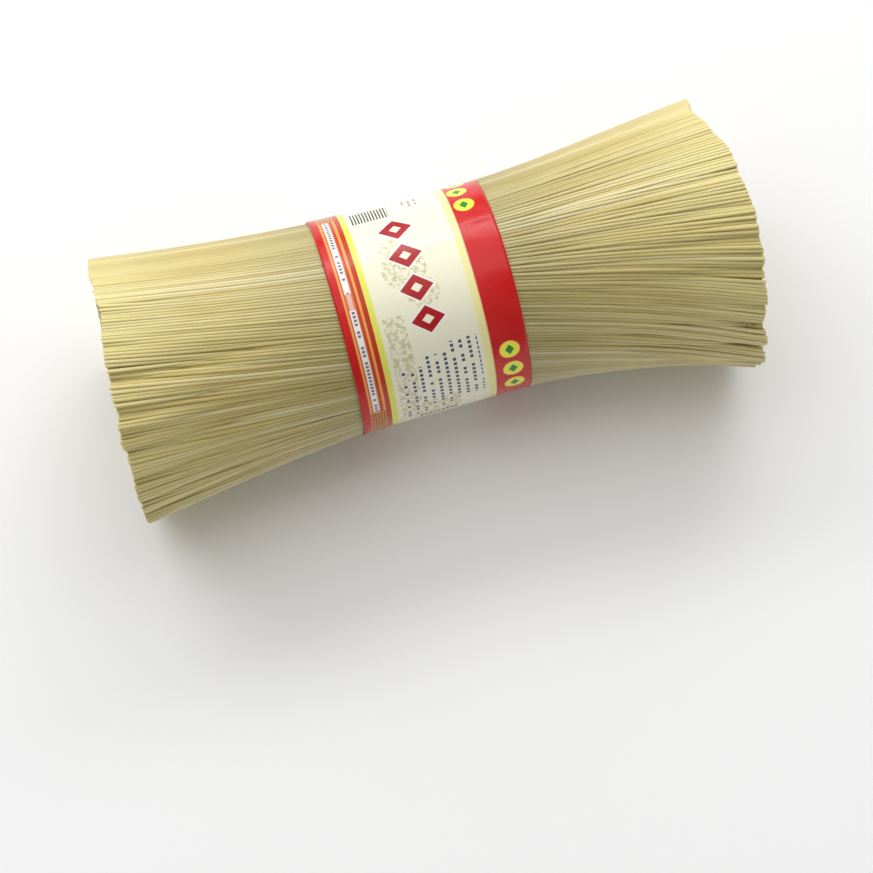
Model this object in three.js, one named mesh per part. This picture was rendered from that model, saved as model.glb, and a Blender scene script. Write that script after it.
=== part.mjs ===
// A bundle of straight dried rice noodles, drawn in at the waist by one printed paper band and fanned out at both ends.
// It lies on its side. Units are millimetres. +X runs along the noodles towards the wider fan and +Z is up.
// The origin is on the surface it lies on, under the middle of its bounding box.
import * as THREE from "three";

// The noodles.
const LENGTH = 274;
const WAIST = { narrow: 45.2, wide: 46.4, height: 44.6 }; // half-widths at the band's two edges, and half-height
const AXIS_HEIGHT = 49; // the bundle's weight presses its fans flat where they meet the surface
// Each fan's size at the noodles' ends, above and below the axis, and how far and how sharply it bends to -Y.
// Its end face isn't square. On the left the noodles on the +Y side stop short. On the right those on both sides do,
// because they spread furthest. highest is in degrees round from +Y, where the noodles reach furthest.
const FANS = {
  left: {
    side: -1,
    halfWidth: 59.3,
    top: 55,
    bottom: 52.5,
    bend: 2.4,
    bendPower: 1,
    slant: { depth: 2.4, highest: 195, waves: 1 },
  },
  right: {
    side: 1,
    halfWidth: 61.9,
    top: 57,
    bottom: 53.5,
    bend: 4.6,
    bendPower: 3,
    slant: { depth: 3, highest: 98, waves: 2 },
  },
};
const FLARE_START = 30; // from the middle
const FLARE_POWER = 1.45;

// The unevenness of the fans: ripples round the outline, and clumps of noodles that reach further than others.
const RIPPLES = [
  { count: 7, phase: 0.4, depth: 0.45 },
  { count: 12, phase: 2.1, depth: 0.4 },
  { count: 19, phase: 4.0, depth: 0.4 },
];
const END_CLUMPS = [
  { across: 0.16, round: 5, phase: 0.9, reach: 0.6 },
  { across: 0.11, round: 9, phase: 2.6, reach: 0.5 },
  { across: 0.07, round: 16, phase: 5.1, reach: 0.4 },
];

// Each end is a shallow dome that falls off at its rim.
const END_DOME = { depth: 3, power: 4 };

// The band: a strip of paper wrapped once round the waist and glued where its end laps over its start.
const BAND = { left: -38.8, right: 35.3, thickness: 0.4, gap: 0.3 };
const LAP = { from: 236, to: 252, climb: 5, edge: 0.4 }; // degrees round from +Y, on the underside

// How finely the surfaces are divided.
const AROUND = 132;
const ALONG = 22;
const FACE_RINGS = [0.35, 0.62, 0.82, 0.94]; // shares of the way from the middle of an end face to its rim
const BAND_AROUND = 90;
const BAND_ALONG = 3;

const TURN = 2 * Math.PI;
const radians = (degrees) => (degrees * TURN) / 360;
const fanAt = (x) => (x < 0 ? FANS.left : FANS.right);

// 0 under the band, rising to 1 at the noodles' ends.
function spread(x) {
  const past = Math.max(0, Math.abs(x) - FLARE_START);
  return (past / (LENGTH / 2 - FLARE_START)) ** FLARE_POWER;
}

// How far an ellipse reaches at this angle, where its upper and lower halves have their own heights.
function ellipse(angle, halfWidth, top, bottom) {
  const height = Math.sin(angle) > 0 ? top : bottom;
  return 1 / Math.hypot(Math.cos(angle) / halfWidth, Math.sin(angle) / height);
}

function waistRadius(x, angle) {
  const along = THREE.MathUtils.clamp((x - BAND.left) / (BAND.right - BAND.left), 0, 1);
  return ellipse(angle, THREE.MathUtils.lerp(WAIST.wide, WAIST.narrow, along), WAIST.height, WAIST.height);
}

// The bundle's outline: its distance from the axis, at a place along it and an angle round from +Y.
function outlineRadius(x, angle) {
  const fan = fanAt(x);
  const ripple = RIPPLES.reduce(
    (sum, r) => sum + r.depth * Math.sin(r.count * angle + r.phase + fan.side),
    0,
  );
  const end = ellipse(angle, fan.halfWidth, fan.top, fan.bottom) + ripple;
  return THREE.MathUtils.lerp(waistRadius(x, angle), end, spread(x));
}

// The two fans bend a little to one side, because the noodles lie loose there.
function bendOf(x) {
  const fan = fanAt(x);
  const past = Math.max(0, Math.abs(x) - FLARE_START) / (LENGTH / 2 - FLARE_START);
  return -fan.bend * past ** fan.bendPower;
}

// How far the noodle ends reach along the axis. share is 0 at the middle of the end and 1 at its rim.
function endReach(fan, share, angle) {
  const uneven = END_CLUMPS.reduce(
    (sum, c) => sum + c.reach * share * Math.sin(c.round * angle + c.phase * fan.side + share / c.across),
    0,
  );
  const { depth, highest, waves } = fan.slant;
  const slant = depth * share ** waves * Math.cos(waves * (angle - radians(highest)));
  return LENGTH / 2 - END_DOME.depth * share ** END_DOME.power + slant + uneven;
}

function pointAt(x, radius, angle) {
  const y = bendOf(x) + radius * Math.cos(angle);
  const z = Math.max(0, AXIS_HEIGHT + radius * Math.sin(angle));
  return [x, y, z];
}

// Joins rings of equal length into a skin, from the first ring to the last, facing outwards.
function skin(faces, ringStarts, count) {
  for (let i = 0; i + 1 < ringStarts.length; i++) {
    for (let k = 0; k < count; k++) {
      const next = (k + 1) % count;
      const a = ringStarts[i] + k;
      const b = ringStarts[i] + next;
      const c = ringStarts[i + 1] + k;
      const d = ringStarts[i + 1] + next;
      faces.push(a, b, d, a, d, c);
    }
  }
}

function solidFrom(points, faces) {
  const geometry = new THREE.BufferGeometry();
  geometry.setAttribute("position", new THREE.Float32BufferAttribute(points.flat(), 3));
  geometry.setIndex(faces);
  geometry.computeVertexNormals();
  return geometry;
}

// All the noodles as one closed solid: an end face, the outline along the axis, and the other end face.
function bundleGeometry() {
  const points = [];
  const faces = [];
  const ringStarts = [];
  const addRing = (place) => {
    ringStarts.push(points.length);
    for (let k = 0; k < AROUND; k++) points.push(place((TURN * k) / AROUND));
  };
  const faceRing = (fan, share) => (angle) => {
    const rim = fan.side * (LENGTH / 2);
    const [, y, z] = pointAt(rim, share * outlineRadius(rim, angle), angle);
    return [fan.side * endReach(fan, share, angle), y, z];
  };
  const sideRing = (share) => (angle) => {
    const x = share * endReach(share < 0 ? FANS.left : FANS.right, 1, angle);
    return pointAt(x, outlineRadius(x, angle), angle);
  };
  const middle = (fan) => [fan.side * endReach(fan, 0, 0), bendOf(fan.side * (LENGTH / 2)), AXIS_HEIGHT];

  const firstMiddle = points.push(middle(FANS.left)) - 1;
  for (const share of FACE_RINGS) addRing(faceRing(FANS.left, share));
  for (let i = 0; i <= ALONG; i++) addRing(sideRing(-1 + (2 * i) / ALONG));
  for (const share of [...FACE_RINGS].reverse()) addRing(faceRing(FANS.right, share));
  const lastMiddle = points.push(middle(FANS.right)) - 1;

  skin(faces, ringStarts, AROUND);
  const last = ringStarts.at(-1);
  for (let k = 0; k < AROUND; k++) {
    const next = (k + 1) % AROUND;
    faces.push(firstMiddle, ringStarts[0] + next, ringStarts[0] + k);
    faces.push(lastMiddle, last + k, last + next);
  }
  return solidFrom(points, faces);
}

// How many sheets of paper lie on each other at this angle: 2 along the lap, with one sharp edge.
function sheets(degrees) {
  const climbed = THREE.MathUtils.clamp((degrees - LAP.from + LAP.climb) / LAP.climb, 0, 1);
  return degrees > LAP.to ? 1 : 1 + climbed;
}

// The band as one closed ring: out along its outer face and back along its inner face.
function bandGeometry() {
  const angles = Array.from({ length: BAND_AROUND }, (_, k) => (360 * k) / BAND_AROUND);
  const free = (degrees) => Math.abs(degrees - LAP.to) > LAP.edge;
  const round = [...angles.filter(free), LAP.to, LAP.to + LAP.edge].sort((a, b) => a - b);
  const points = [];
  const faces = [];
  const ringStarts = [];
  const addRing = (x, outer) => {
    ringStarts.push(points.length);
    for (const degrees of round) {
      const paper = outer ? BAND.thickness * sheets(degrees) : 0;
      const angle = radians(degrees);
      points.push(pointAt(x, outlineRadius(x, angle) + BAND.gap + paper, angle));
    }
  };
  for (let i = 0; i <= BAND_ALONG; i++) {
    addRing(THREE.MathUtils.lerp(BAND.left, BAND.right, i / BAND_ALONG), true);
  }
  for (let i = BAND_ALONG; i >= 0; i--) {
    addRing(THREE.MathUtils.lerp(BAND.left, BAND.right, i / BAND_ALONG), false);
  }
  ringStarts.push(ringStarts[0]);
  skin(faces, ringStarts, round.length);
  return solidFrom(points, faces);
}

function piece(name, geometry, colour, roughness) {
  const material = new THREE.MeshStandardMaterial({ color: colour, roughness, metalness: 0 });
  const mesh = new THREE.Mesh(geometry, material);
  mesh.name = name;
  return mesh;
}

const bundle = new THREE.Group();
bundle.add(piece("noodle_bundle", bundleGeometry(), 0xc6b581, 0.5));
bundle.add(piece("paper_band", bandGeometry(), 0xb4231b, 0.35));

const box = new THREE.Box3().setFromObject(bundle);
const centre = box.getCenter(new THREE.Vector3());
bundle.position.set(-centre.x, -centre.y, -box.min.z);

export default bundle;
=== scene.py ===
import math

import bpy
import numpy as np
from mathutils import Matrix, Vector
from mathutils.bvhtree import BVHTree


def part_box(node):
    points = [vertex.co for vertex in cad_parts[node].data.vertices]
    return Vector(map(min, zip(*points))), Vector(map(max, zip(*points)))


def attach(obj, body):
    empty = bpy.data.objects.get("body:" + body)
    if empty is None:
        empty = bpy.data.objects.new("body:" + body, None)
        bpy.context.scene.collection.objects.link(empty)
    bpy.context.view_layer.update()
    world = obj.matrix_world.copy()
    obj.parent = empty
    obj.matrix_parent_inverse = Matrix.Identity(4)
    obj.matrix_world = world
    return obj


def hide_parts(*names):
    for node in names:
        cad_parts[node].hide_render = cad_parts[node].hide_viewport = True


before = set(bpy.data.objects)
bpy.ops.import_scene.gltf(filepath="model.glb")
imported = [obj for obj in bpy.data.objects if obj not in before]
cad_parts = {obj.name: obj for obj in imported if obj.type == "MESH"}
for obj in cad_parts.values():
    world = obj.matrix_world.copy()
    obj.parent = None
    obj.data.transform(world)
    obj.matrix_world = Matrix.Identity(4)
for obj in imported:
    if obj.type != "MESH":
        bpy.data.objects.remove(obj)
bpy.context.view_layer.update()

MM = 0.001

# The noodles.
NOODLES = 2400
THICKNESS = 1.7 * MM
THICKNESS_VARIES = 0.06
DEPTH_VARIES = 0.4 * MM  # how unevenly the outermost noodles lie
PACKED = 0.87  # how far apart noodles lie, as a share of their thickness, because the band squeezes them
RINGS = 5  # how many orderly rings of noodles lie under the band
RING_STEP = math.sqrt(3) / 2  # how far rings lie apart, as a share of how far the noodles in one do
FILL_SCATTER = 0.2 * MM  # how unevenly the noodles inside the rings start
GOLDEN_ANGLE = math.pi * (3 - math.sqrt(5))  # from one to the next, it spreads points evenly over a disc
SEED = 7

# Where the bundle is cut to pack the noodles, on each side of the waist.
WAIST_HALF = 30 * MM
LAST_SECTION = 127 * MM
SECTIONS = 7
ANGLES = 120

# The bundle is a little twisted, so that noodles on its front climb towards the left end and sink towards
# the right one. TWIST gives how far they have turned at the end, by angle round from +Y, in degrees.
TWIST = {
    -1: ((0, 0), (30, -2), (67, -12), (100, -21), (129, -24), (149, -18), (180, -9), (225, 0), (360, 0)),
    1: ((0, 0), (75, 1), (92, 14), (110, 27), (142, 30), (180, 27), (240, 16), (330, 2), (360, 0)),
}
TWIST_POWER = 0.92
STRAYS = 0.12  # the share of noodles that cross their neighbours a little
STRAY_TURN = 0.011  # how far they turn from one section to the next, in radians

# Grooves between the bunches of noodles: their spacing, and their depth and width at the ends.
GROOVE_SPACING = (5.0 * MM, 14.0 * MM)
GROOVE_DEPTH = (0.5 * MM, 4.4 * MM)
GROOVE_WIDTH = (1.4 * MM, 3.8 * MM)
DEEPEST_GROOVE = 4.4 * MM
DEEPEST_NOTCH = 7.0 * MM
GROOVES_DEEPEN = 0.85  # power of the way from the waist to the end
EVEN_PART = {-1: (12, 172, 0.18), 1: (10, 188, 0.16)}  # degrees from and to, and the share of depth there
NOTCH = 0.08  # how much shorter the noodles in a groove end, as a share of its depth

# The deep grooves on each fan's front: degrees round from +Y, depth and width in millimetres, and notch.
FRONT_GROOVES = {
    -1: (
        (90, 1.4, 2.0, 0.05),
        (106, 3.4, 2.6, 0.03),
        (121, 3.0, 2.3, 0.03),
        (130, 2.5, 1.7, 0.03),
        (139, 2.3, 1.7, 0.03),
        (152, 2.8, 2.4, 0.03),
        (165, 2.4, 2.0, 0.05),
    ),
    1: (
        (62, 0.9, 1.6, 0.00),
        (85, 1.4, 2.0, 0.00),
        (100, 1.9, 2.0, 0.00),
        (107, 1.5, 1.4, 0.00),
        (114, 1.9, 1.7, 0.00),
        (121, 1.8, 1.2, 0.00),
        (128, 2.7, 2.4, 0.00),
        (144, 1.7, 1.6, 0.10),
        (155, 3.2, 1.9, 2.60),
        (168, 3.3, 1.9, 2.60),
        (184, 1.7, 1.8, 0.30),
    ),
}
NOTCHED_SHARE = 0.72  # of the way from the axis to the skin, from where noodles end short in a groove
# How much further noodles on the skin reach at each end, by angle round from +Y, in millimetres.
LONGER = {
    -1: (
        (0, 1.2), (10, 0.6), (18, -0.6), (30, 0.0), (90, 0.1), (105, 1.4), (125, 2.0), (150, 2.2),
        (160, 1.2), (172, 0.0), (188, -1.2), (197, -2.0), (206, 0.0), (360, 1.2),
    ),
    1: (
        (0, 0.0), (10, -0.6), (17, -0.8), (26, -0.3), (32, -0.6), (38, -1.6), (44, -2.9), (50, -4.0),
        (56, -2.8), (62, -1.9), (70, -0.4), (82, 0.2), (92, -1.0), (101, -0.2), (110, 1.0), (129, 1.2),
        (139, -0.9), (146, -2.0), (155, -1.8), (160, 0.0), (166, -0.6), (172, 0.4), (186, 1.9),
        (193, 1.6), (197, 0.8), (206, -0.4), (360, 0.0),
    ),
}
MIDDLE_SHORTER = {-1: 2.6 * MM, 1: 0.0}  # how much shorter those in the middle stop
UNEVEN = (-0.1 * MM, 0.14 * MM)  # the mean and the spread of what chance adds to each end
OUTWARD = 0.08 * MM  # how hard the outermost noodles press outwards, as a step in each round
OUTWARD_POWER = 24  # and how fast that falls off inwards

# Layers, counted from the skin inwards: noodles, sides of a rod, and sections skipped between points.
LAYERS = {
    "noodles_outer": {"noodles": 660, "sides": 8, "skip": 1},
    "noodles_middle": {"noodles": 900, "sides": 6, "skip": 1},
    "noodles_inner": {"noodles": 840, "sides": 6, "skip": 2},
}
BAND_SHADE_TO = 90 * MM  # painted shade: the noodles' colour darkens from here in to the band, standing in for the light that noodles pressed tight there let through less than further out
PAINTED_BAND_SHADE = (0.74, 0.78, 0.82, 1)
PAINTED_GROOVE_SHADE = (0.92, 0.82, 0.48, 1)  # painted shade: noodles down in a groove are coloured darker and warmer, since light that reaches them has come through others
PAINTED_END_GLOW = (239, 223, 152)  # painted light: noodles are coloured paler towards their ends, standing in for light that shines through the spread ends
END_GLOW_FROM, END_GLOW_TO = 85 * MM, 138 * MM
PALE_NOODLE = (242, 233, 196)  # a few noodles are paler than the rest
SOFTENED = 1.4  # how far a noodle's shading leans to that of the whole bundle

# The core behind the noodles.
CORE_SHARE = 0.76  # of the way from the axis to the skin
CORE_FIT = 0.96  # the core itself is this much smaller still
THROUGH_CORE = 0.9  # noodles within this share of the core run through it, and only their ends are made
CORE_END = 124 * MM
CORE_OVERLAP = 6 * MM

# The band of paper.
PAPER = 0.2 * MM
PAPER_GAP = 0.12 * MM
LAP_FROM = 236  # degrees round from +Y to the strip's first edge, on the underside
LAP = 16
LAP_CLIMB = 5  # over how many degrees the strip's end climbs onto its start
LAP_GAP = 0.03 * MM
STRIP_STEPS = 376
STRIP_ROWS = 48
RIM_ON_MAP = 0.003  # how wide the paper's edge is on its map

# The print's inks.
RED = (206, 10, 4)
DEEP_RED = (176, 10, 20)
RED_BROWN = (196, 52, 16)
ORANGE = (232, 120, 62)
BROWN = (150, 66, 18)
GOLD = (250, 168, 84)
STRAW = (226, 154, 58)
PINK = (238, 190, 176)
WHITE = (248, 246, 240)
CREAM = (247, 243, 216)
PALE_YELLOW = (247, 239, 164)
YELLOW = (236, 236, 98)
DISC_YELLOW = (252, 246, 80)
OLIVE = (186, 178, 118)
GREEN = (40, 140, 50)
GREY = (122, 122, 126)
SLATE = (84, 86, 104)
DARK = (58, 62, 74)


def turn(degrees):
    return math.radians(degrees)


# ---------------- the bundle's outline, read from the frame


class Outline:
    """How far the bundle's skin lies from its axis, by place along it and angle round from +Y."""

    def __init__(self, node):
        mesh = node.data
        corners = [v.co for v in mesh.vertices]
        faces = [tuple(p.vertices) for p in mesh.polygons]
        self.skin = BVHTree.FromPolygons(corners, faces)
        low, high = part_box("paper_band")
        self.waist_y, self.axis_z = (low.y + high.y) / 2, (low.z + high.z) / 2
        self.places = np.linspace(-LAST_SECTION, LAST_SECTION, 4 * SECTIONS + 1)
        self.angles = np.linspace(-math.pi, math.pi, ANGLES, endpoint=False)
        self.middles = np.array([self.middle_at(x) for x in self.places])
        self.radii = np.array([self.radii_at(x, y) for x, y in zip(self.places, self.middles)])

    def reach(self, origin, direction):
        hit = self.skin.ray_cast(Vector(origin), Vector(direction))
        return hit[3] if hit[3] is not None else 0.0

    def middle_at(self, x):
        """The middle between the skin's two sides: a mean over a few rays, so that no ripple moves it."""
        fan = [turn(a) for a in (-24, -12, 0, 12, 24)]
        origin = (x, self.waist_y, self.axis_z)
        ahead = [self.reach(origin, (0, math.cos(a), math.sin(a))) * math.cos(a) for a in fan]
        behind = [self.reach(origin, (0, -math.cos(a), math.sin(a))) * math.cos(a) for a in fan]
        return self.waist_y + (sum(ahead) - sum(behind)) / (2 * len(fan))

    def radii_at(self, x, y):
        origin = (x, y, self.axis_z)
        return [self.reach(origin, (0, math.cos(a), math.sin(a))) for a in self.angles]

    def middle(self, x):
        return np.interp(x, self.places, self.middles)

    def radius(self, x, angle):
        """The skin's distance from the axis. x and angle are arrays of one shape."""
        column = (np.asarray(angle) + math.pi) / (2 * math.pi) * ANGLES
        row = np.interp(x, self.places, np.arange(len(self.places)))
        row = np.broadcast_to(row, column.shape)
        low_row = np.clip(np.floor(row).astype(int), 0, len(self.places) - 2)
        low_column = np.floor(column).astype(int)
        across, along = column - low_column, row - low_row
        left, right = low_column % ANGLES, (low_column + 1) % ANGLES
        near = self.radii[low_row, left] * (1 - across) + self.radii[low_row, right] * across
        far = self.radii[low_row + 1, left] * (1 - across) + self.radii[low_row + 1, right] * across
        return near * (1 - along) + far * along

    def end_reach(self, side, y, z):
        """How far the bundle's end face lies from the middle, at this height and width."""
        outside = 0.2
        for shrink in (1.0, 0.97, 0.94, 0.9):
            origin = (
                side * outside,
                self.waist_y + (y - self.waist_y) * shrink,
                self.axis_z + (z - self.axis_z) * shrink,
            )
            found = self.reach(origin, (-side, 0, 0))
            if outside - found > LAST_SECTION:
                return outside - found
        return LAST_SECTION


# ---------------- packing the noodles


def rings_and_fill(radius, rng):
    """Points over a disc: rings of touching noodles next to its rim, and the rest spread inside them."""
    apart = PACKED * THICKNESS
    points = []
    for ring in range(RINGS):
        reach = radius - ring * apart * RING_STEP
        count = int(2 * math.pi * reach / apart)
        angle = (np.arange(count) + 0.5 * (ring % 2)) / count * 2 * math.pi
        points.append(reach * np.stack([np.cos(angle), np.sin(angle)], 1))
    count = NOODLES - sum(len(ring) for ring in points)
    index = np.arange(count) + 0.5
    reach = (radius - RINGS * apart * RING_STEP) * np.sqrt(index / count)
    angle = index * GOLDEN_ANGLE
    fill = np.stack([reach * np.cos(angle), reach * np.sin(angle)], 1)
    points.append(fill + rng.normal(0, FILL_SCATTER, fill.shape))
    return np.concatenate(points)


def close_pairs(points, reach):
    """Every two points that lie closer than reach, as two lists of indices."""
    first, second = [], []
    block = 400
    for start in range(0, len(points), block):
        part = points[start : start + block]
        apart = ((part[:, None, :] - points[None, :, :]) ** 2).sum(2)
        a, b = np.nonzero(apart < reach * reach)
        a += start
        keep = a < b
        first.append(a[keep])
        second.append(b[keep])
    return np.concatenate(first), np.concatenate(second)


def push_apart(points, radii, pairs):
    """One round: noodles that overlap move away from each other, most of the way."""
    a, b = pairs
    gap = points[a] - points[b]
    distance = np.maximum(np.linalg.norm(gap, axis=1), 1e-9)
    overlap = np.maximum(radii[a] + radii[b] - distance, 0) * 0.5
    push = gap / distance[:, None] * overlap[:, None]
    moved = np.zeros_like(points)
    for axis in (0, 1):
        moved[:, axis] += np.bincount(a, push[:, axis], len(points))
        moved[:, axis] -= np.bincount(b, push[:, axis], len(points))
    return points + 0.6 * moved


class Sizes:
    """Each noodle's radius, the smaller one it packs to, and how far below the skin its axis stays."""

    def __init__(self, rng):
        self.radii = THICKNESS / 2 * (1 + THICKNESS_VARIES * rng.uniform(-1, 1, NOODLES))
        self.packed = PACKED * self.radii
        self.clearance = self.radii + DEPTH_VARIES * rng.random(NOODLES) ** 2


class Grooves:
    """Shallow valleys along one fan, which deepen from the waist to its end."""

    def __init__(self, side, outline, rng):
        end_radius = float(outline.radius(np.array([side * LAST_SECTION]), np.zeros(1))[0])
        even_from, even_to, shallower = EVEN_PART[side]
        rows, angle = [], 0.0
        while angle < 360:
            angle += math.degrees(rng.uniform(*GROOVE_SPACING) / end_radius)
            depth, width = rng.uniform(*GROOVE_DEPTH), rng.uniform(*GROOVE_WIDTH)
            if even_from < angle < even_to:
                depth *= shallower
            rows.append((angle, depth, width, NOTCH))
        for angle, depth, width, notch in FRONT_GROOVES[side]:
            rows.append((angle, depth * MM, width * MM, notch))
        self.angles = np.radians([row[0] for row in rows])
        self.depths = np.array([row[1] for row in rows])
        self.widths = np.array([row[2] for row in rows]) / end_radius
        self.notches = np.array([row[3] for row in rows])

    def at(self, angle):
        """Each groove's depth at the end of the fan, at each of these angles."""
        apart = (angle[:, None] - self.angles[None, :] + math.pi) % (2 * math.pi) - math.pi
        return self.depths * np.exp(-((apart / self.widths) ** 2))

    def depth(self, x, angle):
        way = max(0.0, (abs(x) - WAIST_HALF) / (LAST_SECTION - WAIST_HALF))
        return self.at(angle).sum(1).clip(0, DEEPEST_GROOVE) * way**GROOVES_DEEPEN

    def notch(self, angle):
        return (self.at(angle) * self.notches).sum(1).clip(0, DEEPEST_NOTCH)


def hold_inside(points, sizes, outline, x, grooves):
    """Noodles that reach past the bundle's skin are moved back to lie just inside it."""
    centre = np.array([outline.middle(x), outline.axis_z])
    away = points - centre
    distance = np.maximum(np.linalg.norm(away, axis=1), 1e-9)
    angle = np.arctan2(away[:, 1], away[:, 0])
    most = outline.radius(x, angle) - sizes.clearance
    if grooves:
        most = most - grooves.depth(x, angle)
    scale = np.minimum(1, most / distance)
    held = centre + away * scale[:, None]
    held[:, 1] = np.maximum(held[:, 1], sizes.radii)
    return held


def settle(points, sizes, outline, x, rounds, grooves=None):
    """Rounds of pushing overlapping noodles apart, while the outer ones press outwards against the skin."""
    centre = np.array([outline.middle(x), outline.axis_z])
    for step in range(rounds):
        if step % 8 == 0:
            pairs = close_pairs(points, 1.5 * THICKNESS)
        away = points - centre
        distance = np.maximum(np.linalg.norm(away, axis=1), 1e-9)
        share = distance / outline.radius(x, np.arctan2(away[:, 1], away[:, 0]))
        press = OUTWARD * share**OUTWARD_POWER if grooves else 0 * share
        points = points + away * (press / distance)[:, None]
        points = push_apart(points, sizes.packed, pairs)
        points = hold_inside(points, sizes, outline, x, grooves)
    return points


def spread_on(points, outline, x_from, x_to, turned):
    """The same noodles at the next section: each keeps its share of the way from the axis to the skin."""
    old = np.array([outline.middle(x_from), outline.axis_z])
    new = np.array([outline.middle(x_to), outline.axis_z])
    away = points - old
    angle = np.arctan2(away[:, 1], away[:, 0])
    share = np.linalg.norm(away, axis=1) / outline.radius(x_from, angle)
    angle = angle + turned
    wrapped = (angle + math.pi) % (2 * math.pi) - math.pi
    reach = share * outline.radius(x_to, wrapped)
    return new + np.stack([reach * np.cos(angle), reach * np.sin(angle)], 1)


def pack_fan(side, waist, sizes, outline, rng):
    """Section by section from the waist to one end, where every noodle runs."""
    centre = np.array([outline.waist_y, outline.axis_z])
    away = waist - centre
    angle = np.degrees(np.arctan2(away[:, 1], away[:, 0])) % 360
    share = np.linalg.norm(away, axis=1) / outline.radius(0.0, np.arctan2(away[:, 1], away[:, 0]))
    bends = np.array(TWIST[side], float)
    twist = np.radians(np.interp(angle, bends[:, 0], bends[:, 1])) * share
    stray = np.where(rng.random(len(waist)) < STRAYS, rng.normal(0, STRAY_TURN, len(waist)), 0)
    grooves = Grooves(side, outline, rng)
    ways = np.linspace(0, 1, SECTIONS + 1)
    places = side * (WAIST_HALF + (LAST_SECTION - WAIST_HALF) * ways)
    points, rows = waist, [waist]
    for k in range(SECTIONS):
        turned = twist * (ways[k + 1] ** TWIST_POWER - ways[k] ** TWIST_POWER) + stray
        points = spread_on(points, outline, places[k], places[k + 1], turned)
        points = settle(points, sizes, outline, places[k + 1], 40, grooves)
        rows.append(points)
    for _ in range(2):
        rows = straightened(rows)
        for k in range(1, SECTIONS + 1):
            rows[k] = settle(rows[k], sizes, outline, places[k], 8, grooves)
    return places, straightened(rows), grooves


def straightened(rows):
    """Dried noodles are stiff, so each line is smoothed along its length. Its two end points stay."""
    lines = np.stack(rows)
    for _ in range(2):
        inner = 0.25 * lines[:-2] + 0.5 * lines[1:-1] + 0.25 * lines[2:]
        lines = np.concatenate([lines[:1], inner, lines[-1:]])
    return list(lines)


def waist_points(sizes, outline, rng):
    """Where every noodle runs through the waist."""
    round_the_waist = np.linspace(-3, 3, 60)
    mean = float(outline.radius(0.0, round_the_waist).mean()) - THICKNESS / 2
    start = rings_and_fill(mean, rng)
    angle = np.arctan2(start[:, 1], start[:, 0])
    stretch = (outline.radius(0.0, angle) - THICKNESS / 2) / mean
    waist = start * stretch[:, None] + np.array([outline.waist_y, outline.axis_z])
    return settle(waist, sizes, outline, 0.0, 160)


def depth_and_share(points, radii, outline, x):
    """How deep each noodle lies below the skin, its share of the way out from the axis, and its angle."""
    away = points - np.array([outline.middle(x), outline.axis_z])
    angle = np.arctan2(away[:, 1], away[:, 0])
    distance, skin = np.linalg.norm(away, axis=1), outline.radius(x, angle)
    return skin - distance - radii, distance / skin, angle


def ends_of(side, last, share, angle, grooves, outline, rng):
    """How far each noodle reaches along the axis at its end."""
    uneven = rng.normal(*UNEVEN, NOODLES) - grooves.notch(angle) * (share > NOTCHED_SHARE)
    steps = np.array(LONGER[side])
    uneven += np.interp(np.degrees(angle) % 360, steps[:, 0], steps[:, 1]) * MM * share**4
    uneven -= MIDDLE_SHORTER[side] * (1 - share**4)
    spots = rim_places(last, share, outline, side * LAST_SECTION)
    return np.array([outline.end_reach(side, y, z) for y, z in spots]) + uneven


def noodle_lines(outline):
    """Every noodle's centre line, as an array of noodles by points, its radius and its outermost share.

    Each point is x, y, z and how deep the noodle lies below the bundle's skin there.
    """
    rng = np.random.default_rng(SEED)
    sizes = Sizes(rng)
    waist = waist_points(sizes, outline, rng)
    halves, outermost = [], np.zeros(NOODLES)
    for side in (-1, 1):
        places, rows, grooves = pack_fan(side, waist, sizes, outline, rng)
        sunk = []
        for x, row in zip(places, rows):
            depth, share, angle = depth_and_share(row, sizes.radii, outline, x)
            outermost = np.maximum(outermost, share)
            sunk.append(depth)
        last, before = rows[-1], rows[-2]
        reach = ends_of(side, last, share, angle, grooves, outline, rng)
        beyond = (reach - LAST_SECTION) / abs(places[-1] - places[-2])
        end = last + (last - before) * beyond[:, None]
        end[:, 1] = np.maximum(end[:, 1], sizes.radii)
        x = [np.full(NOODLES, p) for p in places] + [side * reach]
        points = zip(x, [*rows, end], [*sunk, sunk[-1]])
        half = np.stack([np.column_stack(point) for point in points], 1)
        halves.append(half if side > 0 else half[:, ::-1])
    return np.concatenate(halves, 1), sizes.radii, outermost


def rim_places(points, share, outline, x):
    """Where to read how far the end reaches: noodles in a groove end where those on the skin do."""
    centre = np.array([outline.middle(x), outline.axis_z])
    near = ((share - 0.7) / 0.25).clip(0, 1)
    near = near * near * (3 - 2 * near)
    outward = 1 + near * np.maximum(0.98 / share - 1, 0)
    return centre + (points - centre) * outward[:, None]


# ---------------- lines to rods


def link(tree, *pairs):
    for out, into in pairs:
        tree.links.new(out, into)


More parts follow.
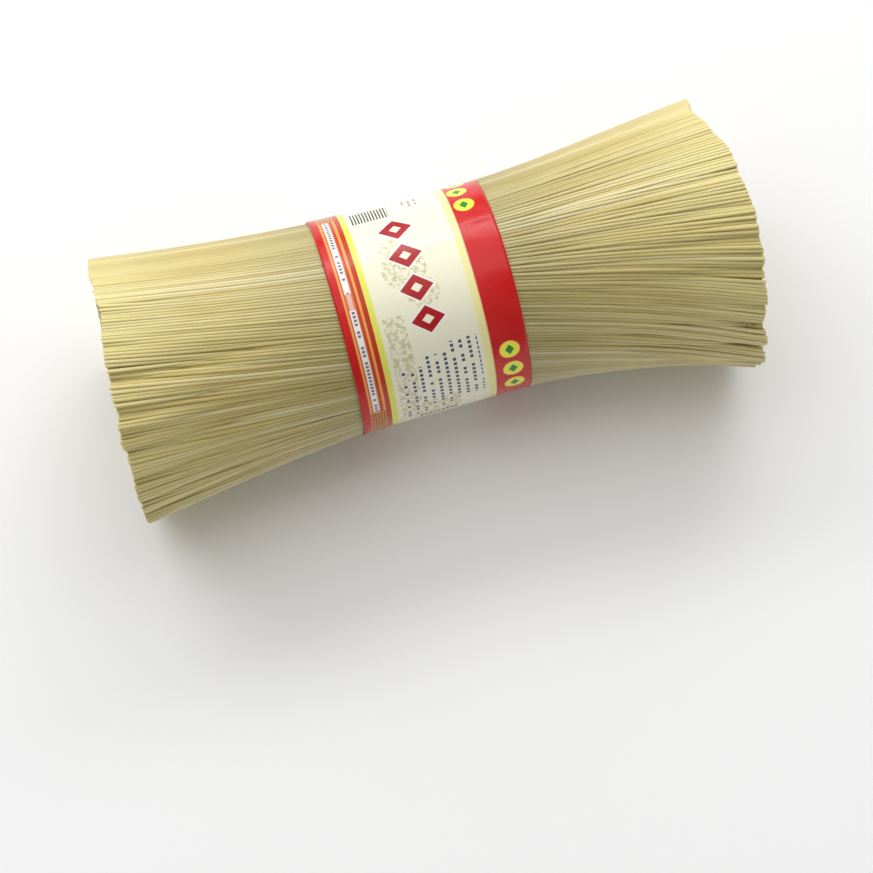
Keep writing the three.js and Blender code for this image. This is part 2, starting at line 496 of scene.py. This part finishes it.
def rods_tree():
    """Turns lines of points into capped rods, and stores where each corner lies round its rod."""
    tree = bpy.data.node_groups.new("rods_from_lines", "GeometryNodeTree")
    face = tree.interface
    face.new_socket("Geometry", in_out="INPUT", socket_type="NodeSocketGeometry")
    face.new_socket("Sides", in_out="INPUT", socket_type="NodeSocketInt").default_value = 8
    face.new_socket("Material", in_out="INPUT", socket_type="NodeSocketMaterial")
    face.new_socket("Geometry", in_out="OUTPUT", socket_type="NodeSocketGeometry")
    add = tree.nodes.new
    given, made = add("NodeGroupInput"), add("NodeGroupOutput")
    curves = add("GeometryNodeMeshToCurve")
    section = add("GeometryNodeCurvePrimitiveCircle")
    section.inputs["Radius"].default_value = 1.0
    where = add("GeometryNodeSplineParameter")
    around = add("GeometryNodeStoreNamedAttribute")
    around.inputs["Name"].default_value = "around"
    thick = add("GeometryNodeInputNamedAttribute")
    thick.inputs["Name"].default_value = "thick"
    rods = add("GeometryNodeCurveToMesh")
    rods.inputs["Fill Caps"].default_value = True
    smooth = add("GeometryNodeSetShadeSmooth")
    neighbours = add("GeometryNodeInputMeshFaceNeighbors")
    is_cut = add("FunctionNodeCompare")
    is_cut.data_type = "INT"
    is_cut.operation = "GREATER_THAN"
    corners, limit = [s for s in is_cut.inputs if s.identifier in ("A_INT", "B_INT")]
    limit.default_value = 4
    flat = add("GeometryNodeSetShadeSmooth")
    flat.inputs["Shade Smooth"].default_value = False
    real = add("GeometryNodeRealizeInstances")
    finish = add("GeometryNodeSetMaterial")
    link(
        tree,
        (given.outputs["Geometry"], curves.inputs["Mesh"]),
        (given.outputs["Sides"], section.inputs["Resolution"]),
        (section.outputs["Curve"], around.inputs["Geometry"]),
        (where.outputs["Factor"], around.inputs["Value"]),
        (curves.outputs["Curve"], rods.inputs["Curve"]),
        (around.outputs["Geometry"], rods.inputs["Profile Curve"]),
        (thick.outputs["Attribute"], rods.inputs["Scale"]),
        (rods.outputs["Mesh"], smooth.inputs["Geometry"]),
        (neighbours.outputs["Vertex Count"], corners),
        (is_cut.outputs["Result"], flat.inputs["Selection"]),
        (smooth.outputs["Geometry"], flat.inputs["Geometry"]),
        (flat.outputs["Geometry"], real.inputs["Geometry"]),
        (real.outputs["Geometry"], finish.inputs["Geometry"]),
        (given.outputs["Material"], finish.inputs["Material"]),
        (finish.outputs["Geometry"], made.inputs["Geometry"]),
    )
    return tree


def socket_id(tree, name):
    found = [s for s in tree.interface.items_tree if s.name == name and s.in_out == "INPUT"]
    return found[0].identifier


def line_mesh(name, lines, values):
    """A mesh of lines, one for each noodle, with each named value given to all of that noodle's points.

    How deep each point lies goes with it too, in millimetres.
    """
    lengths = [len(line) for line in lines]
    points = np.concatenate(lines)
    breaks = np.cumsum(lengths)[:-1] - 1
    joins = np.setdiff1d(np.arange(len(points) - 1), breaks)
    mesh = bpy.data.meshes.new(name)
    mesh.vertices.add(len(points))
    mesh.vertices.foreach_set("co", points[:, :3].astype(np.float32).ravel())
    mesh.edges.add(len(joins))
    mesh.edges.foreach_set("vertices", np.stack([joins, joins + 1], 1).astype(np.int32).ravel())
    held = {key: np.repeat(numbers, lengths) for key, numbers in values.items()}
    held["sunk"] = points[:, 3] / MM
    for key, numbers in held.items():
        attribute = mesh.attributes.new(key, "FLOAT", "POINT")
        attribute.data.foreach_set("value", numbers.astype(np.float32))
    mesh.update()
    return mesh


def numbers_of(mesh, name):
    attribute = mesh.attributes[name]
    found = np.empty(len(attribute.data), np.float32)
    attribute.data.foreach_get("value", found)
    return found


def lay_out_rods(mesh, rows):
    """A map with one row for each noodle. Its length runs across and its cut ends lie at the sides."""
    places = np.empty(len(mesh.vertices) * 3, np.float32)
    mesh.vertices.foreach_get("co", places)
    x = places.reshape(-1, 3)[:, 0]
    corner = np.empty(len(mesh.loops), np.int32)
    mesh.loops.foreach_get("vertex_index", corner)
    count = np.empty(len(mesh.polygons), np.int32)
    mesh.polygons.foreach_get("loop_total", count)
    is_cut = np.repeat(count > 4, count)
    row, around = numbers_of(mesh, "row")[corner], numbers_of(mesh, "around")[corner]
    along = (x[corner] - x.min()) / np.ptp(x)
    margin = 0.01
    across = np.where(is_cut, 0.5 + 0.4 * np.sin(2 * math.pi * around), 0.1 + 0.8 * around)
    cut = np.where(along > 0.5, 1 - margin / 2, margin / 2) + 0.3 * margin * np.cos(2 * math.pi * around)
    u = np.where(is_cut, cut, margin + (1 - 2 * margin) * along)
    v = (row + across) / rows
    layer = mesh.uv_layers.new(name="OFBake")
    layer.uv.foreach_set("vector", np.stack([u, v], 1).astype(np.float32).ravel())


def plain_mesh(obj):
    """The object's evaluated shape as a plain mesh, with no modifier left on it."""
    graph = bpy.context.evaluated_depsgraph_get()
    mesh = bpy.data.meshes.new_from_object(obj.evaluated_get(graph), depsgraph=graph)
    obj.modifiers.clear()
    obj.data = mesh
    return mesh


def show(name, mesh):
    obj = bpy.data.objects.new(name, mesh)
    bpy.context.scene.collection.objects.link(obj)
    return obj


def make_rods(name, lines, values, sides, tree, material):
    """One layer of noodles as a single mesh of rods."""
    values = {**values, "row": np.arange(len(lines))}
    obj = show(name, line_mesh(name, lines, values))
    rods = obj.modifiers.new("rods", "NODES")
    rods.node_group = tree
    rods[socket_id(tree, "Sides")] = sides
    rods[socket_id(tree, "Material")] = material
    mesh = plain_mesh(obj)
    mesh.name = name
    lay_out_rods(mesh, len(lines))
    return obj


# ---------------- materials


class Nodes:
    """A small helper to write a material's nodes from left to right."""

    def __init__(self, name):
        self.material = bpy.data.materials.new(name)
        self.material.use_nodes = True
        self.tree = self.material.node_tree
        self.shader = self.tree.nodes["Principled BSDF"]

    def add(self, kind, **settings):
        node = self.tree.nodes.new(kind)
        for key, value in settings.items():
            setattr(node, key, value)
        return node

    def feed(self, node, **inputs):
        """Sets or links inputs by name, with _ for a space in the name."""
        for key, value in inputs.items():
            socket = node.inputs[key.replace("_", " ")]
            self.put(socket, value)
        return node

    def put(self, socket, value):
        if isinstance(value, bpy.types.NodeSocket):
            self.tree.links.new(value, socket)
        else:
            socket.default_value = value

    def math(self, operation, a, b=0.0, c=0.0, clamp=False):
        node = self.add("ShaderNodeMath", operation=operation, use_clamp=clamp)
        for socket, value in zip(node.inputs, (a, b, c)):
            self.put(socket, value)
        return node.outputs[0]

    def step(self, value, low, high):
        """0 up to low, rising smoothly to 1 at high."""
        node = self.add("ShaderNodeMapRange", interpolation_type="SMOOTHSTEP")
        self.feed(node, Value=value, From_Min=low, From_Max=high)
        return node.outputs["Result"]

    def vector(self, operation, a, b=(0, 0, 0)):
        node = self.add("ShaderNodeVectorMath", operation=operation)
        self.put(node.inputs[0], a)
        self.put(node.inputs["Scale"] if operation == "SCALE" else node.inputs[1], b)
        return node.outputs["Vector"]

    def noise(self, vector, scale, detail=2.0, roughness=0.5):
        node = self.add("ShaderNodeTexNoise")
        self.feed(node, Vector=vector, Scale=scale, Detail=detail, Roughness=roughness)
        return node.outputs[0]

    def mix(self, factor, a, b, blend="MIX"):
        node = self.add("ShaderNodeMix", data_type="RGBA", blend_type=blend)
        self.put(node.inputs["Factor"], factor)
        self.put(node.inputs[6], a)
        self.put(node.inputs[7], b)
        return node.outputs[2]

    def stretched(self, vector, scale):
        node = self.add("ShaderNodeMapping")
        self.feed(node, Vector=vector, Scale=scale)
        return node.outputs["Vector"]


def colour(red, green, blue):
    """A colour given as it looks on a screen, 0 to 255, turned into light."""

    def light(value):
        value /= 255
        return value / 12.92 if value <= 0.04045 else ((value + 0.055) / 1.055) ** 2.4

    return (light(red), light(green), light(blue), 1.0)


def softened_normal(n, place, outline):
    """Light spreads from noodle to noodle, so each one's roundness shades less than a hard rod's would."""
    facing = n.add("ShaderNodeNewGeometry").outputs["Normal"]
    across = n.vector("MULTIPLY", place, (0, 1, 1))
    outward = n.vector("SUBTRACT", across, (0, outline.waist_y, outline.axis_z))
    outward = n.vector("NORMALIZE", outward)
    lengthwise = n.feed(n.add("ShaderNodeSeparateXYZ"), Vector=facing).outputs["X"]
    amount = n.math("MULTIPLY_ADD", n.math("MULTIPLY", lengthwise, lengthwise), -SOFTENED, SOFTENED)
    leaning = n.vector("ADD", facing, n.vector("SCALE", outward, amount))
    return n.vector("NORMALIZE", leaning)


def noodle_material(outline):
    """Dried rice dough: pale straw, a little see-through, with a faint waxy sheen."""
    n = Nodes("dried_rice_noodle")
    place = n.add("ShaderNodeTexCoord").outputs["Object"]
    normal = softened_normal(n, place, outline)
    tone = n.add("ShaderNodeAttribute", attribute_name="tone").outputs["Fac"]
    along = n.noise(n.stretched(place, (30, 420, 420)), 1.0, 3.0, 0.6)
    cloudy = n.noise(n.stretched(place, (9, 60, 60)), 1.0, 2.0, 0.5)
    grain = n.noise(n.stretched(place, (900, 2500, 2500)), 1.0, 2.0, 0.6)
    mixed = n.math("MULTIPLY_ADD", along, 0.4, n.math("MULTIPLY", tone, 0.6))
    base = n.mix(n.step(mixed, 0.25, 0.75), colour(201, 180, 106), colour(227, 209, 146))
    base = n.mix(n.math("MULTIPLY", n.step(cloudy, 0.35, 0.75), 0.5), base, colour(216, 198, 130))
    from_waist = n.math("ABSOLUTE", n.feed(n.add("ShaderNodeSeparateXYZ"), Vector=place).outputs["X"])
    base = n.mix(n.math("MULTIPLY", n.step(tone, 0.84, 0.96), 0.45), base, colour(*PALE_NOODLE))
    # painted shade: the noodles' colour darkens towards the band
    base = n.mix(n.step(from_waist, BAND_SHADE_TO, WAIST_HALF), base, PAINTED_BAND_SHADE, "MULTIPLY")
    # painted shade: the deeper a noodle lies below the skin, the darker and warmer its colour
    sunk = n.add("ShaderNodeAttribute", attribute_name="sunk").outputs["Fac"]
    base = n.mix(n.step(sunk, 0.3, 3.5), base, PAINTED_GROOVE_SHADE, "MULTIPLY")
    # painted light: the noodles' colour grows paler towards their ends
    near_end = n.step(from_waist, END_GLOW_FROM, END_GLOW_TO)
    base = n.mix(n.math("MULTIPLY", near_end, 0.65), base, colour(*PAINTED_END_GLOW))
    rough = n.math("MULTIPLY_ADD", grain, 0.16, 0.30)
    bump = n.feed(n.add("ShaderNodeBump"), Strength=0.25, Distance=0.04 * MM, Height=grain, Normal=normal)
    n.feed(
        n.shader,
        Base_Color=base,
        Roughness=rough,
        Normal=bump.outputs["Normal"],
        Subsurface_Weight=0.6,
        Subsurface_Radius=(1.0, 0.9, 0.7),
        Subsurface_Scale=1.4 * MM,
        Specular_IOR_Level=0.5,
        Sheen_Weight=0.7,
        Sheen_Roughness=0.45,
    )
    return n.material


def core_material():
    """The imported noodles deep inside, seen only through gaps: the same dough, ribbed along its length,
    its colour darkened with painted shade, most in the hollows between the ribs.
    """
    n = Nodes("packed_noodles")
    place = n.add("ShaderNodeTexCoord").outputs["Object"]
    ribs = n.noise(n.stretched(place, (12, 600, 600)), 1.0, 2.0, 0.6)
    # painted shade: darker than the noodles outside, and darkest in the hollows between the ribs
    base = n.mix(n.step(ribs, 0.35, 0.65), colour(150, 132, 78), colour(214, 198, 140))
    bump = n.feed(n.add("ShaderNodeBump"), Strength=0.8, Distance=0.5 * MM, Height=ribs)
    rough = n.math("MULTIPLY_ADD", ribs, 0.2, 0.45)
    n.feed(n.shader, Base_Color=base, Roughness=rough, Normal=bump.outputs["Normal"])
    return n.material


# ---------------- the core


def make_core(outline, material):
    """A closed solid that fills the inside, behind the noodles."""
    places = np.linspace(-CORE_END, CORE_END, 25)
    count = 72
    angles = np.linspace(-math.pi, math.pi, count, endpoint=False)
    points, faces = [], []
    for x in places:
        away = CORE_SHARE * CORE_FIT * outline.radius(x, angles)
        y = outline.middle(x) + away * np.cos(angles)
        z = outline.axis_z + away * np.sin(angles)
        points += list(zip(np.full(count, x), y, z))
    for i in range(len(places) - 1):
        for k in range(count):
            a, b = i * count + k, i * count + (k + 1) % count
            faces.append((a, b, b + count, a + count))
    first, last = len(points), len(points) + 1
    points.append((places[0], outline.middle(places[0]), outline.axis_z))
    points.append((places[-1], outline.middle(places[-1]), outline.axis_z))
    end = (len(places) - 1) * count
    for k in range(count):
        faces.append((first, (k + 1) % count, k))
        faces.append((last, end + k, end + (k + 1) % count))
    mesh = bpy.data.meshes.new("bundle_core")
    mesh.from_pydata(points, [], faces)
    mesh.polygons.foreach_set("use_smooth", [True] * len(mesh.polygons))
    mesh.materials.append(material)
    mesh.update()
    return show("bundle_core", mesh)


def make_noodles(outline):
    lines, radii, share = noodle_lines(outline)
    rng = np.random.default_rng(SEED + 1)
    tone = rng.random(NOODLES)
    order = np.argsort(-share)
    tree, dough = rods_tree(), noodle_material(outline)
    pieces, start = [], 0
    for name, layer in LAYERS.items():
        chosen = order[start : start + layer["noodles"]]
        start += layer["noodles"]
        rods, sources = [], []
        for i in chosen:
            line = thinned(lines[i], layer["skip"])
            parts = short_ends(line) if share[i] < CORE_SHARE * THROUGH_CORE else [line]
            rods += parts
            sources += [i] * len(parts)
        values = {"thick": radii[sources], "tone": tone[sources]}
        pieces.append(make_rods(name, rods, values, layer["sides"], tree, dough))
    return pieces


def thinned(line, skip):
    """A line with fewer points, that keeps both its ends and the straight stretch at the waist."""
    if skip == 1:
        return line
    half = len(line) // 2
    left = line[:half][::-1]
    right = line[half:]
    keep = sorted({0, *range(0, half, skip), half - 1})
    return np.concatenate([left[keep][::-1], right[keep]])


def short_ends(line):
    """The two ends of a noodle that runs through the core: each stops a little way into it."""
    inner = CORE_END - CORE_OVERLAP
    parts = []
    for side, half in ((-1, line[: len(line) // 2]), (1, line[len(line) // 2 :][::-1])):
        end = half[0]
        inside = next(p for p in half if abs(p[0]) < inner)
        outside = [p for p in half if abs(p[0]) >= inner]
        near = outside[-1]
        share = (abs(near[0]) - inner) / (abs(near[0]) - abs(inside[0]))
        start = near + (inside - near) * share
        parts.append(np.array([end, *outside[1:], start]))
    return parts


# ---------------- the band


def make_band(outline):
    low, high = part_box("paper_band")
    left, right = low.x, high.x
    steps = np.linspace(0, 1, STRIP_STEPS + 1)
    rows = np.linspace(0, 1, STRIP_ROWS + 1)
    around = LAP_FROM + (360 + LAP) * steps
    s, t = np.meshgrid(around, rows, indexing="ij")
    x = left + (right - left) * t
    angle = np.radians(s)
    wrapped = (angle + math.pi) % (2 * math.pi) - math.pi
    base = outline.radius(x, wrapped)
    climb = np.clip((s - (LAP_FROM + 360 - LAP_CLIMB)) / LAP_CLIMB, 0, 1)
    lift = PAPER_GAP + climb * climb * (3 - 2 * climb) * (PAPER + LAP_GAP)
    inner = base + lift + paper_slack(s, t)
    surfaces = []
    for radius in (inner + PAPER, inner):
        y = outline.middle(x) + radius * np.cos(angle)
        z = outline.axis_z + radius * np.sin(angle)
        surfaces.append(np.stack([x, y, z], 2).reshape(-1, 3))
    return sheet_mesh(surfaces, STRIP_STEPS + 1, STRIP_ROWS + 1, around, rows)


def paper_slack(s, t):
    """How far the paper stands off the noodles: soft waves, and a dent near its right edge."""
    waves = 0.05 * (np.sin(np.radians(5 * s) + 4 * t) + np.sin(np.radians(9 * s) - 7 * t + 1))
    edge = 0.10 * (np.exp(-((t / 0.03) ** 2)) + np.exp(-(((1 - t) / 0.03) ** 2)))
    dent = -0.25 * np.exp(-(((s - 436) / 6) ** 2) - (((t - 0.93) / 0.09) ** 2))
    ridge = 0.40 * np.exp(-(((s - 430) / 3.2) ** 2) - (((t - 0.92) / 0.11) ** 2))
    return (0.12 + waves * 0.6 + edge + dent + ridge).clip(0, 0.6) * MM


def sheet_mesh(surfaces, steps, rows, around, across):
    """A closed sheet from its outer and inner surface, with its two ends and its two long edges joined."""
    points = np.concatenate(surfaces)
    size = steps * rows
    grid = np.arange(size).reshape(steps, rows)
    a, b, c, d = grid[:-1, :-1], grid[1:, :-1], grid[1:, 1:], grid[:-1, 1:]
    outer = np.stack([a, b, c, d], 2).reshape(-1, 4)
    inner = outer[:, ::-1] + size
    rims = []
    for line, flip in ((grid[:, 0], True), (grid[:, -1], False), (grid[0, :], False), (grid[-1, :], True)):
        quads = np.stack([line[:-1], line[1:], line[1:] + size, line[:-1] + size], 1)
        rims.append(quads[:, ::-1] if flip else quads)
    faces = np.concatenate([outer, inner, *rims])
    mesh = bpy.data.meshes.new("paper_band_wrap")
    mesh.from_pydata(points.tolist(), [], faces.tolist())
    u = np.repeat((around - around[0]) / (around[-1] - around[0]), rows)
    v = np.tile(across, steps)
    u, v = [np.concatenate([side, RIM_ON_MAP + (1 - 2 * RIM_ON_MAP) * side]) for side in (u, v)]
    corner = np.empty(len(mesh.loops), np.int32)
    mesh.loops.foreach_get("vertex_index", corner)
    layer = mesh.uv_layers.new(name="OFBake")
    layer.uv.foreach_set("vector", np.stack([u[corner], v[corner]], 1).astype(np.float32).ravel())
    mesh.polygons.foreach_set("use_smooth", [True] * len(mesh.polygons))
    mesh.update()
    return show("paper_band_wrap", mesh)


class Print(Nodes):
    """The band's print. Places are millimetres across from its left edge, and degrees round from +Y."""

    SOFT = 0.12  # how soft the edge of a printed shape is
    ROUND = 0.81  # millimetres of paper in one degree

    def __init__(self):
        super().__init__("printed_paper")
        low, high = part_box("paper_band")
        self.uv = self.add("ShaderNodeUVMap", uv_map="OFBake").outputs["UV"]
        split = self.feed(self.add("ShaderNodeSeparateXYZ"), Vector=self.uv)
        self.degrees = self.math("MULTIPLY_ADD", split.outputs["X"], 360.0 + LAP, LAP_FROM - 360.0)
        self.across = self.math("MULTIPLY", split.outputs["Y"], (high.x - low.x) / MM)
        self.round = self.math("MULTIPLY", self.degrees, self.ROUND)
        self.ink = colour(*RED)

    def between(self, value, start, end, soft=SOFT):
        rise = self.step(value, start - soft, start + soft)
        fall = self.step(value, end - soft, end + soft)
        return self.math("SUBTRACT", rise, fall, clamp=True)

    def stripe(self, start, end):
        return self.between(self.across, start, end)

    def patch(self, start, end, first, last):
        """A rectangle, from start to end across and from first to last degrees round."""
        rows = self.between(self.round, first * self.ROUND, last * self.ROUND)
        return self.math("MULTIPLY", self.stripe(start, end), rows)

    def offsets(self, across, degrees):
        aside = self.math("SUBTRACT", self.across, across)
        along = self.math("SUBTRACT", self.round, degrees * self.ROUND)
        return aside, along

    def disc(self, across, degrees, radius):
        aside, along = self.offsets(across, degrees)
        squares = self.math("MULTIPLY_ADD", aside, aside, self.math("MULTIPLY", along, along))
        return self.step(self.math("SQRT", squares), radius + self.SOFT, radius - self.SOFT)

    def lozenge(self, across, degrees, half_width, half_height, grow=0.0):
        aside, along = self.offsets(across, degrees)
        share = self.math("MULTIPLY", self.math("ABSOLUTE", aside), 1 / half_width)
        share = self.math("MULTIPLY_ADD", self.math("ABSOLUTE", along), 1 / half_height, share)
        return self.step(share, 1 + grow + 0.02, 1 + grow - 0.02)

    def bars(self, value, period, share, shift=0.0):
        """Even bars: 1 over this share of each period."""
        place = self.math("FRACT", self.math("MULTIPLY_ADD", value, 1 / period, shift))
        soft = 0.5 * self.SOFT / period
        return self.between(place, (1 - share) / 2, (1 + share) / 2, soft)

    def dashes(self, period, length, pitch, width, seed):
        """Rows of short dashes of uneven length along the strip, with some left out."""
        row = self.math("FLOOR", self.math("MULTIPLY", self.across, 1 / pitch))
        place = self.math("MULTIPLY_ADD", self.round, 1 / period, self.math("MULTIPLY", row, 0.37))
        chance = self.add("ShaderNodeTexWhiteNoise", noise_dimensions="2D")
        cell = self.feed(self.add("ShaderNodeCombineXYZ"), X=self.math("FLOOR", place), Y=row, Z=seed)
        self.put(chance.inputs["Vector"], cell.outputs["Vector"])
        shown = self.math("GREATER_THAN", chance.outputs["Value"], 0.22)
        dash = self.bars(place, 1.0, length / period)
        dash = self.math("MULTIPLY", dash, self.bars(self.across, pitch, width / pitch))
        return self.math("MULTIPLY", shown, dash)

    def lay(self, mask, tint, strength=1.0):
        if strength != 1.0:
            mask = self.math("MULTIPLY", mask, strength)
        self.ink = self.mix(mask, self.ink, colour(*tint))

    def all_of(self, masks):
        total = masks[0]
        for mask in masks[1:]:
            total = self.math("MAXIMUM", total, mask)
        return total


def lay_left_strip(p):
    """The trim along the left edge: gold lines beside a glowing strip with grey marks, and woven ends."""
    p.lay(p.stripe(3.2, 12.7), RED_BROWN)
    p.lay(p.between(p.across, 4.9, 8.3, 0.6), ORANGE)
    p.lay(p.between(p.across, 5.5, 7.5, 0.4), PINK)
    p.lay(p.between(p.across, 3.6, 4.5, 0.25), GOLD)
    p.lay(p.between(p.across, 9.4, 10.5, 0.3), GOLD)
    marked = p.all_of([p.patch(5.1, 7.8, 39, 94), p.patch(5.1, 7.8, 103, 164)])
    p.lay(marked, WHITE)
    p.lay(p.math("MULTIPLY", marked, p.dashes(1.7, 1.1, 2.6, 1.3, 3)), GREY)
    wave = p.math("SINE", p.math("MULTIPLY", p.round, 2 * math.pi / 2.6))
    weave = p.bars(p.math("MULTIPLY_ADD", wave, 0.28, p.across), 1.25, 0.56)
    ends = p.all_of([p.patch(3.3, 10.8, 24, 38), p.patch(3.3, 10.8, 165, 206)])
    p.lay(ends, STRAW)
    p.lay(p.math("MULTIPLY", ends, weave), BROWN)


def lay_middle(p):
    """The cream field: faint olive clouds, four red lozenges, a block of bars, and lines of dashes."""
    p.lay(p.stripe(12.6, 57.4), YELLOW)
    p.lay(p.between(p.across, 15.2, 58.5, 0.5), CREAM)
    p.lay(p.between(p.across, 55.4, 58.5, 0.6), PALE_YELLOW)
    clouds = p.noise(p.stretched(p.uv, (150, 34, 1)), 1.0, 4.0, 0.62)
    clouds = p.step(clouds, 0.43, 0.60)
    hill, slope, peak = p.disc(31.5, 88, 9.5), p.disc(36.5, 103, 7.0), p.disc(28, 75, 5)
    bank, shore = p.patch(17.0, 26.0, 112, 184), p.patch(24.0, 43.0, 168, 184)
    p.lay(p.math("MULTIPLY", clouds, p.all_of([hill, slope, peak, bank, shore])), OLIVE, 0.66)
    marks = ((33.2, 62.5), (33.8, 81), (34.6, 100), (35.8, 117.5))
    for across, degrees in marks:
        p.lay(p.lozenge(across, degrees, 7.2, 6.0, grow=0.16), WHITE)
        p.lay(p.lozenge(across, degrees, 7.2, 6.0), DEEP_RED)
        p.lay(p.lozenge(across, degrees, 2.6, 2.2), CREAM)
    block = p.patch(17.0, 33.0, 36, 50)
    p.lay(p.math("MULTIPLY", block, p.bars(p.across, 1.3, 0.55)), DARK)
    columns = ((18.2, 29.2, 142, 182), (29.4, 40.4, 137, 178), (40.6, 53.6, 132, 172))
    field = p.all_of([p.patch(*column) for column in columns])
    p.lay(p.math("MULTIPLY", field, p.dashes(2.3, 2.1, 3.7, 2.3, 5)), WHITE, 0.85)
    p.lay(p.math("MULTIPLY", field, p.dashes(2.3, 1.5, 3.7, 1.4, 5)), SLATE)
    note = p.patch(38.5, 46.5, 34, 44)
    p.lay(p.math("MULTIPLY", note, p.dashes(1.8, 1.2, 2.6, 1.0, 9)), SLATE)
    line = p.math("MULTIPLY", p.patch(25.0, 42.0, 184.5, 188), p.bars(p.across, 1.9, 0.72))
    p.lay(line, DARK)


def lay_right_stripe(p):
    """The wide red stripe, with yellow discs near its ends, each with a small green lozenge."""
    discs = ((64.6, 27), (63.6, 42), (64.2, 57), (66.0, 146.5), (66.4, 160.5), (66.6, 174.5))
    for across, degrees in discs:
        p.lay(p.disc(across, degrees, 4.5), GOLD)
        p.lay(p.disc(across, degrees, 4.2), DISC_YELLOW)
        p.lay(p.lozenge(across, degrees, 2.0, 2.6), GREEN)


def band_material():
    """Coated paper: a glossy print over faint fibres."""
    p = Print()
    lay_left_strip(p)
    lay_middle(p)
    lay_right_stripe(p)
    place = p.add("ShaderNodeTexCoord").outputs["Object"]
    fibres = p.noise(place, 700, 3.0, 0.6)
    blotch = p.noise(place, 60, 2.0, 0.5)
    bump = p.feed(p.add("ShaderNodeBump"), Strength=0.35, Distance=0.03 * MM, Height=fibres)
    worn = p.mix(p.math("MULTIPLY", p.step(blotch, 0.3, 0.9), 0.02), p.ink, (1, 1, 1, 1))
    p.feed(
        p.shader,
        Base_Color=worn,
        Roughness=p.math("MULTIPLY_ADD", fibres, 0.14, 0.20),
        Normal=bump.outputs["Normal"],
        Coat_Weight=0.28,
        Coat_Roughness=0.16,
        Specular_IOR_Level=0.25,
    )
    return p.material


# ---------------- table, light and camera


def make_table():
    mesh = bpy.data.meshes.new("table")
    half = 2.5
    corners = [(-half, -half, 0), (half, -half, 0), (half, half, 0), (-half, half, 0)]
    mesh.from_pydata(corners, [], [(0, 1, 2, 3)])
    table = show("table", mesh)
    n = Nodes("pale_table")
    place = n.add("ShaderNodeTexCoord").outputs["Object"]
    shade = n.noise(place, 3.0)
    n.feed(n.shader, Base_Color=n.mix(shade, (0.93, 0.93, 0.93, 1), (0.95, 0.95, 0.95, 1)), Roughness=0.9)
    mesh.materials.append(n.material)


def area_light(name, power, size, place, target):
    light = bpy.data.lights.new(name, "AREA")
    light.shape = "RECTANGLE"
    light.size, light.size_y = size
    light.energy = power
    obj = bpy.data.objects.new(name, light)
    obj.location = place
    obj.rotation_euler = (Vector(target) - Vector(place)).to_track_quat("-Z", "Y").to_euler()
    obj.visible_camera = False
    bpy.context.scene.collection.objects.link(obj)


def polar(distance, degrees):
    """A place beside the bundle, at an angle round from +Y."""
    return (0, distance * math.cos(turn(degrees)), distance * math.sin(turn(degrees)))


def make_world():
    """A soft white surround that falls off to shade on the -Y side."""
    world = bpy.data.worlds.new("studio")
    world.use_nodes = True
    tree = world.node_tree
    background = tree.nodes["Background"]
    background.inputs["Color"].default_value = (1, 1, 1, 1)
    split = tree.nodes.new("ShaderNodeSeparateXYZ")
    ramp = tree.nodes.new("ShaderNodeMapRange")
    ramp.interpolation_type = "SMOOTHSTEP"
    for name, value in (("From Min", -0.7), ("From Max", 0.5), ("To Min", 0.365), ("To Max", 0.42)):
        ramp.inputs[name].default_value = value
    link(
        tree,
        (tree.nodes.new("ShaderNodeTexCoord").outputs["Generated"], split.inputs["Vector"]),
        (split.outputs["Y"], ramp.inputs["Value"]),
        (ramp.outputs["Result"], background.inputs["Strength"]),
    )
    bpy.context.scene.world = world


def make_light():
    make_world()
    area_light("softbox", 41, (4.0, 3.2), polar(2.0, 56), (0, 0, 0.05))
    area_light("key", 16, (3.0, 0.45), polar(1.9, 43), (0, 0, 0.05))


def make_camera(outline):
    """Looks down on the bundle, and holds it above the middle of the view."""
    azimuth, height, distance = turn(-16), turn(72.6), 1.114
    lens_ratio = 2.978236  # focal length over sensor width
    level = Vector((math.sin(azimuth), -math.cos(azimuth), 0))
    back = level * math.cos(height) + Vector((0, 0, math.sin(height)))
    right = Vector((math.cos(azimuth), math.sin(azimuth), 0))
    up = back.cross(right)
    middle = Vector((0, outline.waist_y, outline.axis_z))
    camera = bpy.data.cameras.new("camera")
    camera.sensor_width = 36
    camera.lens = 36 * lens_ratio
    obj = bpy.data.objects.new("camera", camera)
    obj.location = middle + back * distance + right * 6.3 * MM - up * 56.2 * MM
    obj.rotation_euler = back.to_track_quat("Z", "Y").to_euler()
    bpy.context.scene.collection.objects.link(obj)
    bpy.context.scene.camera = obj


def make_all():
    outline = Outline(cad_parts["noodle_bundle"])
    make_camera(outline)
    core = make_core(outline, core_material())
    noodles = make_noodles(outline)
    for piece in [core, *noodles]:
        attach(piece, "root")
        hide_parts("noodle_bundle")
    band = make_band(outline)
    band.data.materials.append(band_material())
    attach(band, "root")
    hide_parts("paper_band")
    make_table()
    make_light()
    bpy.context.scene.view_settings.view_transform = "Standard"


make_all()
